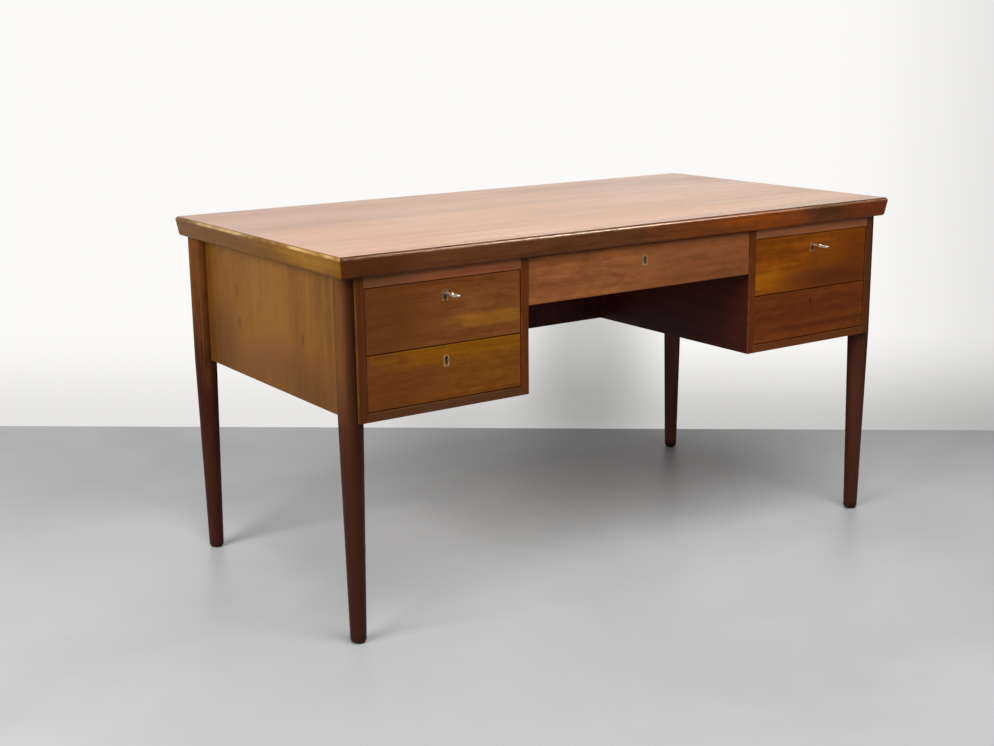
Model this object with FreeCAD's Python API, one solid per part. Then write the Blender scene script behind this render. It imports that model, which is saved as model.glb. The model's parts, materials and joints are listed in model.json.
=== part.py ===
import FreeCAD, Part
import os
from FreeCAD import Vector

# Writing desk: a lipped top on two hung pedestals, with five locked drawers and four turned legs.
# Millimetres, +Z up. Drawer fronts face -Y. The origin is on the floor, under the middle of the top.

# Top
top_length = 1400.0
top_depth = 732.0
desk_height = 735.0
top_thick = 40.0
top_undercut = 6.0
top_corner = 8.0
top_arris = 6.0
top_low_arris = 5.0
lip_width = 24.0

# Case
pedestal_height = 267.0
front_overhang = 15.0
back_overhang = 15.0
end_overhang = 38.5
board = 17.0
back_board = 12.0
kneehole_width = 576.0
kneehole_depth = 506.0
rail_height = 21.0
rail_depth = 60.0

# Legs
leg_foot_radius = 15.5
leg_radius = 23.2
leg_foot_chamfer = 5.0
leg_inset = 29.0
leg_proud = 2.5

# Drawer fronts and the gaps round them
drawer_setback = 1.0
drawer_gap = 1.5
split_gap = 2.0
lower_front_height = 103.0
centre_front_height = 92.0
front_board = 20.0
front_arris = 1.0

# Drawer boxes
drawer_depth = 470.0
side_board = 12.0
drawer_back_board = 10.0
side_lift = 2.0
side_drop = 12.0
side_clearance = 2.0
back_drop = 6.0
bottom_board = 5.0
bottom_lift = 8.0
bottom_slot = 6.0
bottom_play = 0.5

# Dovetails
tail_pitch = 30.0
tail_lap = 7.0
tail_width_share = 0.66
tail_slope_share = 0.14

# Runners
runner_length = 440.0
runner_height = 15.0
runner_slack = 0.3
runner_end_gap = 0.5
runner_stop_gap = 0.3
groove_depth = 7.0
groove_land = 25.0

# Locks and bolts
keyhole_drop = 25.0
centre_keyhole_drop = 28.5
keyhole_radius = 2.9
keyhole_slot_width = 3.0
keyhole_slot_drop = 11.0
lock_width = 46.0
lock_below = 15.0
lock_depth = 9.5
lock_plate = 1.5
lock_plate_margin = 8.0
lock_window = 6.4
bolt_head_width = 13.0
bolt_foot_width = 24.0
bolt_foot_height = 6.0
bolt_lift = 4.8
bolt_play = 0.4
strike_play = 1.0
strike_depth = 8.0

# Keyhole plates
plate_width = 12.0
plate_height = 22.0
plate_above = 7.2
plate_sunk = 1.6
plate_proud = 0.4
plate_play = 0.1

# Keys
key_reach = 35.0
key_shank_radius = 2.5
key_bow_radius = 9.4
key_bow_hole_radius = 5.8
key_bow_thick = 3.2
key_collar_radius = 3.5
key_collar_length = 3.0
key_neck = 1.0
key_bit_reach = 10.0
key_bit_thick = 2.4
key_bit_width = 5.0

# Length by which cutting tools run past the faces that they cut
overrun = 5.0
# Largest share of a corner's radius that the rounding along it takes
rounding_share = 0.9
# Distance within which two places count as the same
same_place = 1e-4

# Places that follow from the sizes above
half_length = top_length / 2
half_depth = top_depth / 2
top_under = desk_height - top_thick
case_bottom = top_under - pedestal_height
case_front = front_overhang - half_depth
case_back = half_depth - back_overhang
end_outer = half_length - end_overhang
end_inner = end_outer - board
knee_half = kneehole_width / 2
pedestal_inner = knee_half + board
floor_top = case_bottom + board
rail_under = top_under - rail_height
back_front = case_front + kneehole_depth
back_rear = back_front + back_board
face = case_front + drawer_setback
face_back = face + front_board
drawer_rear = face + drawer_depth
lock_front = face_back - lock_plate - lock_depth
lock_rear = face_back - lock_plate
bolt_front = lock_front + lock_plate + bolt_play
bolt_rear = lock_rear - bolt_play

along_x = Vector(1, 0, 0)
along_y = Vector(0, 1, 0)
along_z = Vector(0, 0, 1)


def block(x, y, z):
    # a box from its low and high places on each axis
    return Part.makeBox(x[1] - x[0], y[1] - y[0], z[1] - z[0], Vector(x[0], y[0], z[0]))


def grown(span, by):
    return (span[0] - by, span[1] + by)


def mirrored(shape):
    return shape.mirror(Vector(0, 0, 0), along_x)


def prism(points, direction):
    return Part.Face(Part.makePolygon(points + points[:1])).extrude(direction)


def edges_at(shape, axis, place):
    # the edges that lie wholly at one place along an axis
    def is_there(vertex):
        return abs(getattr(vertex.Point, axis) - place) < same_place

    return [edge for edge in shape.Edges if all(map(is_there, edge.Vertexes))]


def save(name, *solids):
    shape = solids[0] if len(solids) == 1 else Part.makeCompound(list(solids))
    shape.exportStep("parts/%s.step" % name)


def top_blank():
    # slab whose edges lean in towards the floor, with rounded corners and arrises
    low = top_under
    high = desk_height
    low_x = half_length - top_undercut
    low_y = half_depth - top_undercut
    across = prism([Vector(-half_length, -low_y, low), Vector(-half_length, low_y, low),
                    Vector(-half_length, half_depth, high), Vector(-half_length, -half_depth, high)],
                   along_x * top_length)
    along = prism([Vector(-low_x, -half_depth, low), Vector(low_x, -half_depth, low),
                   Vector(half_length, -half_depth, high), Vector(-half_length, -half_depth, high)],
                  along_y * top_depth)
    slab = across.common(along)
    hips = [e for e in slab.Edges if abs(e.Vertexes[0].Z - e.Vertexes[1].Z) > top_thick / 2]
    slab = slab.makeFillet(top_corner, hips)
    arris = min(top_arris, top_corner * rounding_share)
    slab = slab.makeFillet(arris, edges_at(slab, "z", high))
    low_arris = min(top_low_arris, top_corner * rounding_share)
    return slab.makeFillet(low_arris, edges_at(slab, "z", low))


def mitre(side_x, side_y):
    # the part of the plan that holds one lip, bounded by the two mitre lines
    out_x = half_length + overrun
    out_y = half_depth + overrun
    in_x = half_length - lip_width - overrun
    in_y = half_depth - lip_width - overrun
    if side_y:
        out_y *= side_y
        in_y *= side_y
        plan = [(-out_x, out_y), (out_x, out_y), (in_x, in_y), (-in_x, in_y)]
    else:
        out_x *= side_x
        in_x *= side_x
        plan = [(out_x, -out_y), (out_x, out_y), (in_x, in_y), (in_x, -in_y)]
    points = [Vector(x, y, top_under - overrun) for x, y in plan]
    return prism(points, along_z * (top_thick + overrun * 2))


def leg():
    # turned leg on its own axis: eased foot, straight taper up to the case, then parallel
    low = leg_foot_chamfer
    foot = Part.makeCone(leg_foot_radius - low, leg_foot_radius, low)
    stem = Part.makeCone(leg_foot_radius, leg_radius, case_bottom - low, Vector(0, 0, low))
    post = Part.makeCylinder(leg_radius, top_under - case_bottom, Vector(0, 0, case_bottom))
    return foot.fuse([stem, post])


def lapped_leg(y):
    # right-hand leg, cut flat above the shoulder where it lies on the end panel
    x = end_outer + leg_proud
    reach = leg_radius * 2
    lap = block((x - reach, end_outer), (y - reach, y + reach), (case_bottom, top_under + overrun))
    return leg().translated(Vector(x, y, 0)).cut(lap)


def tail_row(x, root, tip, z_low, z_high):
    # dovetails that widen from root to tip along Y, through the thickness of a drawer side
    count = max(2, round((z_high - z_low) / tail_pitch))
    pitch = (z_high - z_low) / count
    half_tip = pitch * tail_width_share / 2
    half_root = half_tip - abs(tip - root) * tail_slope_share
    tails = []
    for i in range(count):
        z = z_low + pitch * (i + 0.5)
        points = [Vector(x[0], root, z - half_root), Vector(x[0], tip, z - half_tip),
                  Vector(x[0], tip, z + half_tip), Vector(x[0], root, z + half_root)]
        tails.append(prism(points, along_x * (x[1] - x[0])))
    return Part.makeCompound(tails)


def keyhole(x, z, y):
    # round hole with a slot under it, through the span y
    round_part = Part.makeCylinder(keyhole_radius, y[1] - y[0], Vector(x, y[0], z), along_y)
    half = keyhole_slot_width / 2
    return round_part.fuse(block((x - half, x + half), y, (z - keyhole_slot_drop, z)))


def plate_blank(x, z, y, play):
    # arched plate, round at the top and flat at the foot, with some play all round
    half = plate_width / 2
    top = z + plate_above
    arch = Part.makeCylinder(half + play, y[1] - y[0], Vector(x, y[0], top - half), along_y)
    foot = block(grown((x - half, x + half), play), y, (top - plate_height - play, top - half))
    return arch.fuse(foot).removeSplitter()


def lock_envelope(x, z, top):
    # the room that a lock takes in the drawer front: works, back plate and top plate
    half = lock_width / 2
    wide = half + lock_plate_margin
    low = z - lock_below
    works = block((x - half, x + half), (lock_front, face_back), (low, top))
    back = block((x - wide, x + wide), (lock_rear, face_back), (low, top))
    cap = block((x - wide, x + wide), (lock_front, face_back), (top - lock_plate, top))
    return works.fuse([back, cap]).removeSplitter()


def lock(x, z, top):
    half = lock_width / 2 - lock_plate
    room = block((x - half, x + half), (lock_front + lock_plate, lock_rear),
                 (z - lock_below + lock_plate, top - lock_plate))
    half_slot = bolt_head_width / 2 + bolt_play
    slot = block((x - half_slot, x + half_slot), grown((bolt_front, bolt_rear), bolt_play),
                 (top - lock_plate - overrun, top + overrun))
    half_window = lock_window / 2
    window = block((x - half_window, x + half_window), (lock_front - overrun, lock_front + lock_plate),
                   (z - keyhole_slot_drop, z + half_window))
    return lock_envelope(x, z, top).cut([room, slot, window])


def bolt(x, z, top):
    # sliding bolt: a wide foot over the key, a head that fills the slot in the top plate
    low = z + bolt_lift
    y = (bolt_front, bolt_rear)
    head = block((x - bolt_head_width / 2, x + bolt_head_width / 2), y, (low, top))
    foot = block((x - bolt_foot_width / 2, x + bolt_foot_width / 2), y, (low, low + bolt_foot_height))
    return head.fuse(foot).removeSplitter()


def strike(x, low):
    # mortise that takes the bolt's head, cut upwards from the place low
    half = bolt_head_width / 2 + strike_play
    y = grown((bolt_front, bolt_rear), strike_play)
    return block((x - half, x + half), y, (low - overrun, low + strike_depth))


def key(x, z):
    # key turned aside in its lock: ring bow lying level, collar, round shank, and bit to one side
    end = bolt_rear
    bow_y = face - key_reach
    half_bow = key_bow_thick / 2
    bow = Part.makeCylinder(key_bow_radius, key_bow_thick, Vector(x, bow_y, z - half_bow))
    bow_hole = Part.makeCylinder(key_bow_hole_radius, key_bow_thick, Vector(x, bow_y, z - half_bow))
    half_neck = key_shank_radius
    neck_end = bow_y + key_bow_radius + key_neck
    neck = block((x - half_neck, x + half_neck), (bow_y + key_bow_hole_radius, neck_end),
                 (z - half_bow, z + half_bow))
    collar = Part.makeCylinder(key_collar_radius, key_collar_length, Vector(x, neck_end, z), along_y)
    shank = Part.makeCylinder(key_shank_radius, end - neck_end, Vector(x, neck_end, z), along_y)
    half_bit = key_bit_thick / 2
    bit = block((x, x + key_bit_reach), (end - key_bit_width, end), (z - half_bit, z + half_bit))
    return bow.fuse(neck).cut(bow_hole).fuse([collar, shank, bit])


def drawer(name, opening, front_low, front_high, drop, plated, keyed, strike_low):
    # writes every piece of one drawer and returns its two runners
    x = (opening[0] + opening[1]) / 2
    key_z = front_high - drop
    outer = grown(opening, -side_clearance)
    inner = grown(outer, -side_board)
    side_low = front_low + side_lift
    side_high = front_high - side_drop
    bottom_low = side_low + bottom_lift
    bottom_high = bottom_low + bottom_board
    back_high = side_high - back_drop
    back_start = drawer_rear - drawer_back_board
    side_spans = ((outer[0], inner[0]), (inner[1], outer[1]))

    # grooves for the bottom panel and for the runners
    bottom_groove = block(grown(inner, bottom_slot), (face_back - bottom_slot, drawer_rear + overrun),
                          (bottom_low, bottom_high))
    runner_mid = (side_low + side_high) / 2
    half_groove = runner_height / 2 + runner_slack
    groove_start = face_back + groove_land
    groove_z = (runner_mid - half_groove, runner_mid + half_groove)
    groove_y = (groove_start, drawer_rear + overrun)
    runner_grooves = [block((outer[0] - overrun, outer[0] + groove_depth), groove_y, groove_z),
                      block((outer[1] - groove_depth, outer[1] + overrun), groove_y, groove_z)]

    # sides and back
    front_tails = [tail_row(span, face_back, face + tail_lap, side_low, side_high) for span in side_spans]
    back_tails = [tail_row(span, back_start, drawer_rear, bottom_high, back_high) for span in side_spans]
    sides = []
    for span, front_tail, back_tail in zip(side_spans, front_tails, back_tails):
        pins = block(span, (back_start, drawer_rear + overrun), (bottom_high, back_high)).cut(back_tail)
        plank = block(span, (face_back, drawer_rear), (side_low, side_high)).cut(pins)
        sides.append(plank.fuse(front_tail.Solids).removeSplitter().cut([bottom_groove] + runner_grooves))
    back = block(outer, (back_start, drawer_rear), (bottom_high, back_high)).cut(back_tails + runner_grooves)

    # front, with its sockets, groove, lock mortise and keyhole
    front = block(grown(opening, -drawer_gap), (face, face_back), (front_low, front_high))
    front = front.makeChamfer(front_arris, edges_at(front, "y", face))
    cuts = front_tails + [bottom_groove, lock_envelope(x, key_z, front_high)]
    cuts.append(keyhole(x, key_z, (face - overrun, lock_front)))
    if plated:
        plate_y = (face - plate_proud, face + plate_sunk)
        cuts.append(plate_blank(x, key_z, (face - overrun, face + plate_sunk), plate_play))
        plate = plate_blank(x, key_z, plate_y, 0).cut(keyhole(x, key_z, grown(plate_y, overrun)))
        save(name + "_keyhole_plate", plate)
    if strike_low:
        cuts.append(strike(x, front_low))
    save(name + "_drawer_front", front.cut(cuts))
    save(name + "_drawer_frame", *sides, back)
    save(name + "_drawer_bottom", block(grown(inner, bottom_slot - bottom_play),
                                        (face_back - bottom_slot + bottom_play, drawer_rear),
                                        (bottom_low, bottom_high)))
    save(name + "_lock", lock(x, key_z, front_high))
    save(name + "_lock_bolt", bolt(x, key_z, front_high))
    if keyed:
        save(name + "_key", key(x, key_z))

    # runners on the case sides, stopped by the front ends of the grooves
    start = groove_start + runner_stop_gap
    reach = side_clearance + groove_depth - runner_end_gap
    runner_z = (runner_mid - runner_height / 2, runner_mid + runner_height / 2)
    walls = ((opening[0], opening[0] + reach), (opening[1] - reach, opening[1]))
    return [block(wall, (start, start + runner_length), runner_z) for wall in walls]


def build():
    os.makedirs("parts", exist_ok=True)

    # drawers, with their runners
    right = (pedestal_inner, end_inner)
    left = (-end_inner, -pedestal_inner)
    lower = (floor_top + drawer_gap, floor_top + drawer_gap + lower_front_height)
    upper = (lower[1] + split_gap, rail_under - drawer_gap)
    centre_high = top_under - drawer_gap
    for side, opening in (("left", left), ("right", right)):
        runners = []
        for level, span in (("upper", upper), ("lower", lower)):
            is_upper = level == "upper"
            plated = is_upper or side == "left"
            runners += drawer(side + "_" + level, opening, span[0], span[1], keyhole_drop,
                              plated, is_upper, is_upper)
        save("runners_" + side, *runners)
    runners = drawer("centre", (-knee_half, knee_half), centre_high - centre_front_height, centre_high,
                     centre_keyhole_drop, True, False, False)
    save("runners_centre", *runners)

    # top panel and its lips
    panel_x = half_length - lip_width
    panel_y = half_depth - lip_width
    panel = block((-panel_x, panel_x), (-panel_y, panel_y), (top_under, desk_height))
    rim = top_blank().cut(panel)
    for name, side_x, side_y in (("front", 0, -1), ("back", 0, 1), ("left", -1, 0), ("right", 1, 0)):
        save("top_lip_" + name, rim.common(mitre(side_x, side_y)))
    save("top_panel", panel.cut(strike(0, top_under)))

    # rails under the top
    rail_z = (rail_under, top_under)
    front_rail = block(right, (case_front, case_front + rail_depth), rail_z)
    front_rail = front_rail.cut(strike(sum(right) / 2, rail_under))
    save("front_rail_right", front_rail)
    save("front_rail_left", mirrored(front_rail))
    rear_rail = block((-end_inner, end_inner), (case_back - rail_depth, case_back), rail_z)
    save("rear_rail", rear_rail)

    # end panels, inner sides, bottoms and backs
    case_y = (case_front, case_back)
    case_z = (case_bottom, top_under)
    end_panel = block((end_inner, end_outer), case_y, case_z)
    inner_side = block((knee_half, pedestal_inner), case_y, case_z).cut(rear_rail)
    bottom = block(right, case_y, (case_bottom, floor_top))
    pedestal_back = block(right, (back_front, back_rear), (floor_top, top_under))
    save("end_panel_right", end_panel)
    save("end_panel_left", mirrored(end_panel))
    save("inner_side_right", inner_side)
    save("inner_side_left", mirrored(inner_side))
    save("pedestal_bottom_right", bottom)
    save("pedestal_bottom_left", mirrored(bottom))
    save("pedestal_back_right", pedestal_back)
    save("pedestal_back_left", mirrored(pedestal_back))
    save("kneehole_back", block((-knee_half, knee_half), (back_front, back_rear), case_z))
    save("bookcase_floor", block((-knee_half, knee_half), (back_rear, case_back), (case_bottom, floor_top)))

    # legs
    for name, y in (("front", case_front + leg_inset), ("back", case_back - leg_inset)):
        right_leg = lapped_leg(y)
        save("leg_%s_right" % name, right_leg)
        save("leg_%s_left" % name, mirrored(right_leg))


build()
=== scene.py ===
import json
import math
import bmesh
import bpy
from mathutils import Matrix, Vector


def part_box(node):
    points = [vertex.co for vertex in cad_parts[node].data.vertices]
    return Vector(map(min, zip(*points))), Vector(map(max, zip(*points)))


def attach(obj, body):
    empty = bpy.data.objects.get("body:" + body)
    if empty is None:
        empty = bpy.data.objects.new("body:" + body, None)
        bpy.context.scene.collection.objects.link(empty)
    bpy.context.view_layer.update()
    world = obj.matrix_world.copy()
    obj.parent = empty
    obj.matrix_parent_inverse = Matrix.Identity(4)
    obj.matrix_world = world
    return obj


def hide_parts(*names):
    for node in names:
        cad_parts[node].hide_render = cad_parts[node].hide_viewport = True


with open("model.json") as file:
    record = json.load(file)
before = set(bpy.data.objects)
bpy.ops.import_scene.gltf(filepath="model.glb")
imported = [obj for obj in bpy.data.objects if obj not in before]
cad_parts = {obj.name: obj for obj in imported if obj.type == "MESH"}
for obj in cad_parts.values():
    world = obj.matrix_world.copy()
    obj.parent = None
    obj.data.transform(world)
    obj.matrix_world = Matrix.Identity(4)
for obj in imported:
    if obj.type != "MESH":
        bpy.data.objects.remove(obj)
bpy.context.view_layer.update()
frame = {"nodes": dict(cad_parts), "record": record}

scene = bpy.context.scene
scene.view_settings.view_transform = "Standard"
behaviour = frame["record"]["behaviour"]
slotOf = {s["node"]: s["material_slot"] for s in frame["record"]["subparts"]}
bodyOf = {n: body for body, members in behaviour["bodies"].items() for n in members}
drawerNames = ("left_upper", "left_lower", "centre", "right_upper", "right_lower")
sideSigns = {"left": -1, "right": 1}


# small helpers for node trees
def addNode(tree, kind, feeds=None, **settings):
    node = tree.nodes.new(kind)
    for setting, value in settings.items():
        setattr(node, setting, value)
    for socket, value in (feeds or {}).items():
        if isinstance(value, bpy.types.NodeSocket):
            tree.links.new(value, node.inputs[socket])
        else:
            node.inputs[socket].default_value = value
    return node


def sumNode(tree, operation, first, second=0.0, clamp=False):
    node = addNode(tree, "ShaderNodeMath", {0: first, 1: second}, operation=operation, use_clamp=clamp)
    return node.outputs[0]


noiseLook = {"middle": 0.5, "roughness": 0.55}


def swing(tree, value, amount):
    # a noise value moved about zero and scaled
    return sumNode(tree, "MULTIPLY", sumNode(tree, "SUBTRACT", value, noiseLook["middle"]), amount)


def spread(tree, value, low, high, outLow=0.0, outHigh=1.0):
    feeds = {"Value": value, "From Min": low, "From Max": high, "To Min": outLow, "To Max": outHigh}
    return addNode(tree, "ShaderNodeMapRange", feeds, interpolation_type="SMOOTHSTEP").outputs["Result"]


def ramp(tree, factor, stops):
    node = addNode(tree, "ShaderNodeValToRGB", {"Fac": factor})
    elements = node.color_ramp.elements
    elements[0].position, elements[0].color = stops[0][0], (*stops[0][1], 1.0)
    elements[-1].position, elements[-1].color = stops[-1][0], (*stops[-1][1], 1.0)
    for place, colour in stops[1:-1]:
        elements.new(place).color = (*colour, 1.0)
    return node.outputs["Color"]


def mixColour(tree, factor, first, second):
    node = addNode(tree, "ShaderNodeMix", data_type="RGBA")
    sockets = (node.inputs["Factor"], node.inputs[6], node.inputs[7])
    for socket, value in zip(sockets, (factor, first, second)):
        if isinstance(value, bpy.types.NodeSocket):
            tree.links.new(value, socket)
        else:
            socket.default_value = value if isinstance(value, float) else (*value, 1.0)
    return node.outputs[2]


def farFrom(tree, coords, place, reach):
    # distance from a place, as a share of the reach
    feeds = {"Vector": coords, "Location": place, "Scale": reach}
    local = addNode(tree, "ShaderNodeMapping", feeds, vector_type="TEXTURE").outputs[0]
    return addNode(tree, "ShaderNodeVectorMath", {0: local}, operation="LENGTH").outputs["Value"]


def grainNoise(tree, coords, look, along, across, detail, bend=0.0):
    # noise in object coordinates, pulled out along the grain
    scale = [across] * 3
    scale["XYZ".index(look["grain"])] = along
    local = addNode(tree, "ShaderNodeMapping", {"Vector": coords, "Location": look["shift"], "Scale": scale})
    feeds = {"Vector": local.outputs[0], "Scale": 1.0, "Detail": detail, "Distortion": bend,
             "Roughness": noiseLook["roughness"]}
    return addNode(tree, "ShaderNodeTexNoise", feeds).outputs[0]


def newMaterial(name):
    material = bpy.data.materials.new(name)
    material.use_nodes = True
    tree = material.node_tree
    tree.nodes.clear()
    shader = addNode(tree, "ShaderNodeBsdfPrincipled")
    output = addNode(tree, "ShaderNodeOutputMaterial")
    tree.links.new(shader.outputs[0], output.inputs["Surface"])
    coords = addNode(tree, "ShaderNodeTexCoord").outputs["Object"]
    return material, tree, shader, coords


# oiled teak. Each layer: scale along and across the grain, detail, bend, weight
teakLook = {
    "grain": "X", "shift": (0.0, 0.0, 0.0),
    "bands": (0.55, 6.5, 2.0, 0.6, 0.40), "streaks": (1.3, 52.0, 5.0, 0.25, 0.28),
    "lines": (5.0, 360.0, 3.0, 0.1, 0.18), "mottle": (14.0, 40.0, 3.0, 0.9, 0.14),
    "contrast": 2.8, "stops": (0.18, 0.50, 0.82), "roughness": 0.42, "shine": 0.10,
    "cloud": (3.0, 5.0, 3.0), "cloudGloss": 0.22, "bump": 0.22, "bumpDeep": 0.0004, "lineHigh": 0.5,
    "pores": (75.0, 2400.0, 1.0), "poreRange": (0.60, 0.70), "poreDepth": 0.30, "poreDull": 0.15,
    "poreTint": (0.02, 0.008, 0.004), "patches": (),
    "rub": (14.0, 60.0, 3.0), "rubRange": (0.35, 0.70), "worn": (0.30, 0.16, 0.06), "wornAmount": 0.35,
    "wornGloss": 0.16,
}
streakTones = {"dark": (0.66, 0.60, 0.58), "light": (1.36, 1.46, 1.50)}


def tones(*middle):
    made = {"mid": middle}
    for name, shares in streakTones.items():
        made[name] = tuple(m * s for m, s in zip(middle, shares))
    return made


# patches: how far an edge strays with the grain, and where it fades, as shares of the reach
patchLook = {"soft": {"stray": -0.9, "from": 0.25}, "crisp": {"stray": -0.2, "from": 0.95}, "to": 1.05,
             "streak": 0.9}


def paintPatch(tree, coords, tone, colour, patch):
    # a place where the wood is painted lighter or darker: some patches are the wood's own tone and wear,
    # others are painted light and painted shade
    look = patchLook["crisp" if patch["crisp"] else "soft"]
    far = farFrom(tree, coords, patch["at"], patch["reach"])
    edge = sumNode(tree, "ADD", far, swing(tree, tone, look["stray"]))
    amount = spread(tree, edge, look["from"], patchLook["to"], patch["amount"], 0.0)
    shade = sumNode(tree, "ADD", swing(tree, tone, patchLook["streak"]), 1.0)
    tint = addNode(tree, "ShaderNodeVectorMath", {0: patch["tint"], "Scale": shade}, operation="SCALE")
    return mixColour(tree, amount, colour, tint.outputs[0])


def woodMaterial(name, **changes):
    look = dict(teakLook, **changes)
    material, tree, shader, coords = newMaterial(name)
    total = 0.0
    layers = {}
    for layer in ("bands", "streaks", "lines", "mottle"):
        *shape, weight = look[layer]
        layers[layer] = grainNoise(tree, coords, look, *shape)
        total = sumNode(tree, "ADD", sumNode(tree, "MULTIPLY", layers[layer], weight), total)
    tone = sumNode(tree, "ADD", swing(tree, total, look["contrast"]), noiseLook["middle"], clamp=True)
    colour = ramp(tree, tone, list(zip(look["stops"], (look["dark"], look["mid"], look["light"]))))
    for patch in look["patches"]:
        colour = paintPatch(tree, coords, tone, colour, patch)
    pores = spread(tree, grainNoise(tree, coords, look, *look["pores"]), *look["poreRange"])
    colour = mixColour(tree, sumNode(tree, "MULTIPLY", pores, look["poreDepth"]), colour, look["poreTint"])
    # eased edges are rubbed lighter and smoother; on the left lip the lighter colour along the arris is a
    # painted highlight
    edge = addNode(tree, "ShaderNodeAttribute", attribute_name="worn").outputs["Fac"]
    rub = spread(tree, grainNoise(tree, coords, look, *look["rub"]), *look["rubRange"])
    rubbed = sumNode(tree, "MULTIPLY", sumNode(tree, "MULTIPLY", edge, rub), look["wornAmount"])
    colour = mixColour(tree, rubbed, colour, look["worn"])
    gloss = swing(tree, grainNoise(tree, coords, look, *look["cloud"]), look["cloudGloss"])
    gloss = sumNode(tree, "ADD", gloss, sumNode(tree, "MULTIPLY", pores, look["poreDull"]))
    gloss = sumNode(tree, "SUBTRACT", gloss, sumNode(tree, "MULTIPLY", edge, look["wornGloss"]))
    height = sumNode(tree, "SUBTRACT", sumNode(tree, "MULTIPLY", layers["lines"], look["lineHigh"]), pores)
    feeds = {"Strength": look["bump"], "Distance": look["bumpDeep"], "Height": height}
    bump = addNode(tree, "ShaderNodeBump", feeds)
    shader.inputs["Specular IOR Level"].default_value = look["shine"]
    tree.links.new(colour, shader.inputs["Base Color"])
    tree.links.new(sumNode(tree, "ADD", gloss, look["roughness"], clamp=True), shader.inputs["Roughness"])
    tree.links.new(bump.outputs[0], shader.inputs["Normal"])
    return material


# aged metal: cloudy tarnish, fine scratches
metalLook = {"grain": "Z", "shift": (0.0, 0.0, 0.0), "cloud": (160.0, 160.0, 4.0, 0.4),
             "hairs": (300.0, 5200.0, 2.0), "hairDeep": 0.00005, "stops": (0.35, 0.62), "cloudGloss": -0.35}


def metalMaterial(name, bright, dull, roughness, scratch, metallic, patches=()):
    material, tree, shader, coords = newMaterial(name)
    cloud = grainNoise(tree, coords, metalLook, *metalLook["cloud"])
    hairs = grainNoise(tree, coords, metalLook, *metalLook["hairs"])
    feeds = {"Strength": scratch, "Distance": metalLook["hairDeep"], "Height": hairs}
    bump = addNode(tree, "ShaderNodeBump", feeds)
    shader.inputs["Metallic"].default_value = metallic
    colour = ramp(tree, cloud, list(zip(metalLook["stops"], (dull, bright))))
    for patch in patches:
        colour = paintPatch(tree, coords, cloud, colour, patch)
    tree.links.new(colour, shader.inputs["Base Color"])
    gloss = swing(tree, cloud, metalLook["cloudGloss"])
    tree.links.new(sumNode(tree, "ADD", gloss, roughness), shader.inputs["Roughness"])
    tree.links.new(bump.outputs[0], shader.inputs["Normal"])
    return material


# places for patches on the desk's faces, and two reaches that they share
faceWork = {"top": 0.735, "lip": -0.36, "front": -0.35, "edge": -0.353, "edgeDeep": 0.005, "panel": -0.66,
            "leg": (0.664, 0.322), "legAmount": 0.9, "middle": 0.56}
through = 0.1
everywhere = 9.0


def spot(at, reach, tint, amount, crisp=False):
    return {"at": at, "reach": reach, "tint": tint, "amount": amount, "crisp": crisp}


def onTop(x, y, wide, deep, tint, amount):
    return spot((x, y, faceWork["top"]), (wide, deep, through), tint, amount)


def onFront(x, z, wide, high, tint, amount, face="front", crisp=False):
    return spot((x, faceWork[face], z), (wide, through, high), tint, amount, crisp)


def onPanel(y, z, deep, high, tint, amount):
    return spot((faceWork["panel"], y, z), (through, deep, high), tint, amount)


def onLeg(sideX, sideY, z, high, tint):
    x, y = faceWork["leg"]
    return spot((sideX * x, sideY * y, z), (through, through, high), tint, faceWork["legAmount"])


def atDepth(y, deep, tint, crisp=True):
    # a layer across the whole desk
    return spot((0.0, y, faceWork["middle"]), (everywhere, deep, everywhere), tint, 1.0, crisp)


def frontEdge(tint):
    return atDepth(faceWork["edge"], faceWork["edgeDeep"], tint)


# the drawer fronts' veneer has a small mottled figure over its streaks
figured = {"bands": (0.55, 6.5, 2.0, 0.6, 0.30), "streaks": (1.6, 60.0, 5.0, 0.25, 0.26),
           "lines": (6.0, 420.0, 3.0, 0.1, 0.18), "mottle": (20.0, 70.0, 3.0, 0.8, 0.26), "contrast": 3.2}

# what two finishes share
plainLip = (0.130, 0.038, 0.009)
bayTone = (0.170, 0.058, 0.015)
backBoards = {"grain": "Z", "shift": (3.8, 2.6, 7.1)}

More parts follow.
